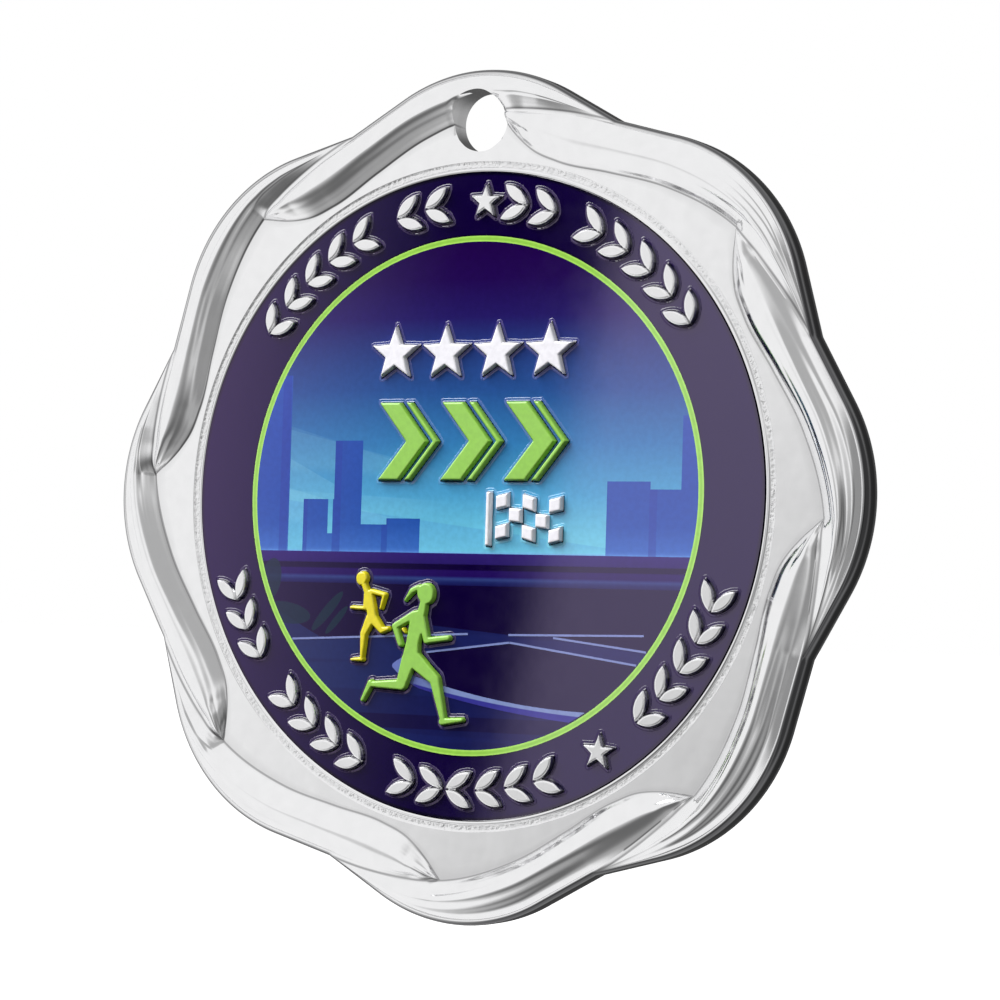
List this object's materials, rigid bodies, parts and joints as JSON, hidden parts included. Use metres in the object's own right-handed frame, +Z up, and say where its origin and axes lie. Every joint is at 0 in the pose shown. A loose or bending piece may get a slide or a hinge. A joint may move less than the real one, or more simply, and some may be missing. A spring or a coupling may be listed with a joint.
{
  "type": "sports finisher medal",
  "caption": "Round scalloped finisher medal with a rope border, a ribbon hole and a coloured disc insert showing runners before a night skyline.",
  "frame": {"origin": "on the axis of the ribbon hole, at mid-thickness of the medal's edge", "axes": "medal hangs upright: +Z up, front face towards -Y, +X to the right seen from the front"},
  "size_m": [0.0672, 0.0034, 0.0672],
  "materials": {
    "silver_plate": "polished",
    "raised_silver": "polished",
    "insert_metal": "satin",
    "adhesive_film": "matte",
    "purple_enamel": "gloss",
    "lime_enamel": "gloss",
    "sky_print": "gloss",
    "skyline_print": "gloss",
    "parapet_print": "gloss",
    "road_print": "gloss",
    "line_print": "gloss",
    "white_enamel": "gloss",
    "green_enamel": "gloss",
    "yellow_enamel": "gloss"
  },
  "bodies": {
    "root": {"medal_body": "silver_plate", "insert_adhesive": "adhesive_film", "insert_plate": "insert_metal", "rim_band": "purple_enamel", "accent_ring": "lime_enamel", "sky_panel": "sky_print", "skyline": "skyline_print", "parapet_band": "parapet_print", "road_panel": "road_print", "lane_lines": "line_print", "top_rim_motifs": "raised_silver", "bottom_rim_motifs": "raised_silver", "star_row": "white_enamel", "chevron_row": "lime_enamel", "finish_flag": "white_enamel", "runner_front": "green_enamel", "runner_rear": "yellow_enamel"}
  },
  "joints": []
}
